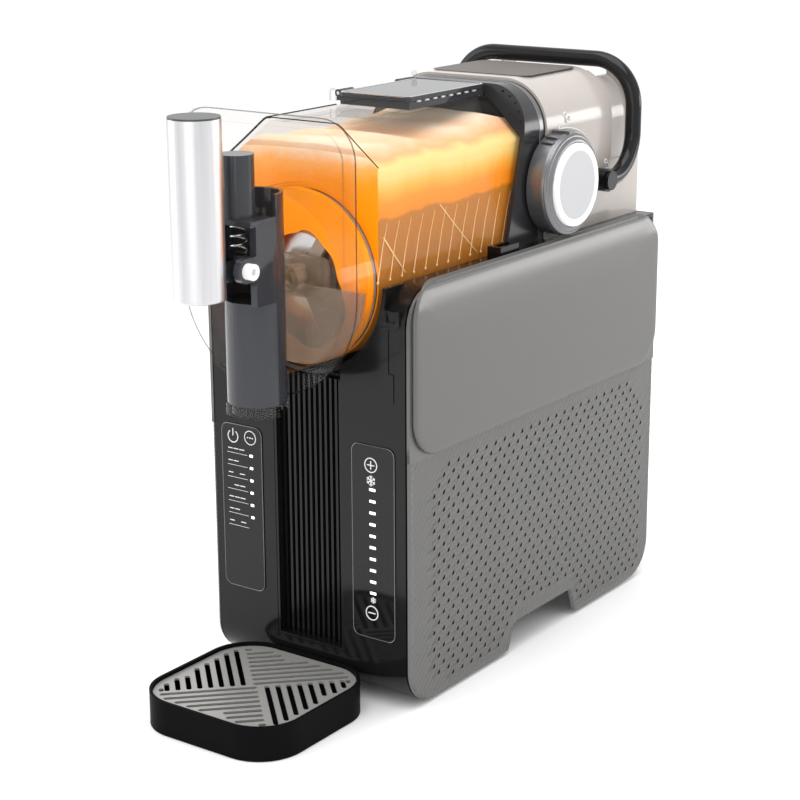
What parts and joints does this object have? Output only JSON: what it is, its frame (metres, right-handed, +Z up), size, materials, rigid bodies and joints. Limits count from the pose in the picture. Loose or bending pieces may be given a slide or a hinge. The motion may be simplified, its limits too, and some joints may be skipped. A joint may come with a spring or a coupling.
{
  "type": "slushie machine",
  "caption": "Countertop slush machine: clear vessel with auger over a vented cabinet, pull tap, lock knob, swing handle and drip tray.",
  "frame": {"origin": "on the floor under the middle of the bounding box", "axes": "+X to the machine's left as it faces you from behind, which is the viewer's right; +Y from the tap to the rear; +Z up"},
  "size_m": [0.176, 0.456, 0.4165],
  "materials": {
    "panel_grey": "satin metallic grey, ribbed and perforated",
    "cover_grey": "satin metallic grey paint",
    "front_black": "high-gloss charcoal",
    "rib_black": "semi-gloss charcoal",
    "touch_strip": "gloss touch strip",
    "deck_black": "semi-gloss black",
    "base_black": "matt black",
    "rubber_black": "matt",
    "zinc_steel": "zinc-plated steel",
    "stainless": "drawn stainless steel",
    "grille_steel": "brushed stainless steel",
    "copper": "copper tube",
    "vessel_clear": "clear copolyester",
    "smoked": "smoked clear plastic",
    "smoked_dark": "dark translucent plastic",
    "white_plastic": "white acetal",
    "lever_silver": "satin anodised",
    "lever_cap": "satin dark grey",
    "auger_plastic": "moulded food-grade plastic",
    "gear_nylon": "natural nylon",
    "gearcase_black": "moulded black",
    "motor_steel": "grey motor steel",
    "bearing_brass": "sintered bronze",
    "collar_dark": "semi-gloss dark grey",
    "housing_champagne": "gloss champagne",
    "housing_inset": "gloss taupe inset",
    "knob_grey": "satin dark metallic grey",
    "knob_face": "satin silver disc in a bright ring",
    "bail_black": "gloss black",
    "tray_black": "satin black",
    "compressor_black": "black enamel",
    "condenser_alu": "mill finish fins",
    "fan_plastic": "moulded black",
    "pcb_green": "green solder mask"
  },
  "bodies": {
    "root": {"bail_pivots": "bail_black", "base_pan": "base_black", "chassis_plate": "zinc_steel", "collar": "collar_dark", "compressor": "compressor_black", "condenser": "condenser_alu", "control_boards": "pcb_green", "cover_panel_left": "cover_grey", "cover_panel_right": "cover_grey", "cradle_deck": "deck_black", "evaporator_coil": "copper", "evaporator_drum": "stainless", "fan_motor": "motor_steel", "fan_shroud": "base_black", "feet": "rubber_black", "front_panel": "front_black", "gearbox_case": "gearcase_black", "housing": "housing_champagne", "housing_inset": "housing_inset", "mains_inlet": "base_black", "motor_can": "motor_steel", "power_board": "pcb_green", "rear_cover": "base_black", "rear_screws": "zinc_steel", "refrigerant_lines": "copper", "rib_insert": "rib_black", "seal_plate": "base_black", "shaft_bearing": "bearing_brass", "side_panel_left": "panel_grey", "side_panel_right": "panel_grey", "touch_strip_left": "touch_strip", "touch_strip_right": "touch_strip", "vessel_gasket": "rubber_black"},
    "auger": {"drive_shaft": "stainless", "auger_screw": "auger_plastic", "auger_nose": "auger_plastic", "drive_gear": "gear_nylon"},
    "motor_rotor": {"motor_rotor": "motor_steel", "motor_pinion": "gear_nylon"},
    "fan": {"fan_rotor": "fan_plastic"},
    "knob": {"lock_knob": "knob_grey", "knob_face": "knob_face"},
    "bail": {"bail_handle": "bail_black"},
    "tray": {"drip_tray": "tray_black"},
    "grille": {"tray_grille": "grille_steel"},
    "vessel": {"vessel_shell": "vessel_clear", "tap_body": "smoked", "spout_ring": "vessel_clear", "tap_cowl": "smoked", "spring_tube": "smoked", "fill_port": "smoked", "hinge_pin": "zinc_steel", "return_spring": "stainless", "pivot_bolt": "white_plastic"},
    "lid": {"lid": "smoked"},
    "lever": {"lever_grip": "lever_silver", "lever_cap": "lever_cap", "lever_fork": "smoked_dark"},
    "plunger": {"plunger": "smoked_dark", "plunger_seals": "rubber_black"}
  },
  "joints": [
    {"name": "vessel_slide", "type": "slide", "parent": "root", "child": "vessel", "axis": [0, -1, 0], "range_m": [0, 0.24]},
    {"name": "lid_hinge", "type": "hinge", "parent": "vessel", "child": "lid", "pos_m": [-0.0325, 0.018, 0.4025], "axis": [0, -1, 0], "range_deg": [0, 105]},
    {"name": "lever_pivot", "type": "hinge", "parent": "vessel", "child": "lever", "pos_m": [0, -0.188, 0.313], "axis": [1, 0, 0], "range_deg": [0, 35], "stiffness_Nm_per_rad": 0.6, "springref_deg": -28.65, "deforming": ["return_spring"]},
    {"name": "plunger_lift", "type": "slide", "parent": "vessel", "child": "plunger", "axis": [0, 0, 1], "range_m": [0, 0.0175]},
    {"name": "auger_spin", "type": "hinge", "parent": "root", "child": "auger", "pos_m": [0, 0, 0.294], "axis": [0, 1, 0], "continuous": true},
    {"name": "motor_spin", "type": "hinge", "parent": "root", "child": "motor_rotor", "pos_m": [0, 0.105, 0.339], "axis": [0, 1, 0], "continuous": true},
    {"name": "fan_spin", "type": "hinge", "parent": "root", "child": "fan", "pos_m": [-0.049, 0.023, 0.102], "axis": [1, 0, 0], "continuous": true},
    {"name": "knob_turn", "type": "hinge", "parent": "root", "child": "knob", "pos_m": [0.07, 0.096, 0.333], "axis": [1, 0, 0], "range_deg": [0, 75]},
    {"name": "bail_swing", "type": "hinge", "parent": "root", "child": "bail", "pos_m": [0, 0.151, 0.328], "axis": [1, 0, 0], "range_deg": [0, 27]},
    {"name": "tray_slide", "type": "slide", "parent": "root", "child": "tray", "axis": [0, -1, 0], "range_m": [0, 0.15]},
    {"name": "grille_lift", "type": "slide", "parent": "tray", "child": "grille", "axis": [0, 0, 1], "range_m": [0, 0.06]}
  ],
  "couplings": [
    {"joint": "plunger_lift", "follows": "lever_pivot", "m_per_rad": 0.02817},
    {"joint": "motor_spin", "follows": "auger_spin", "ratio": -3}
  ]
}
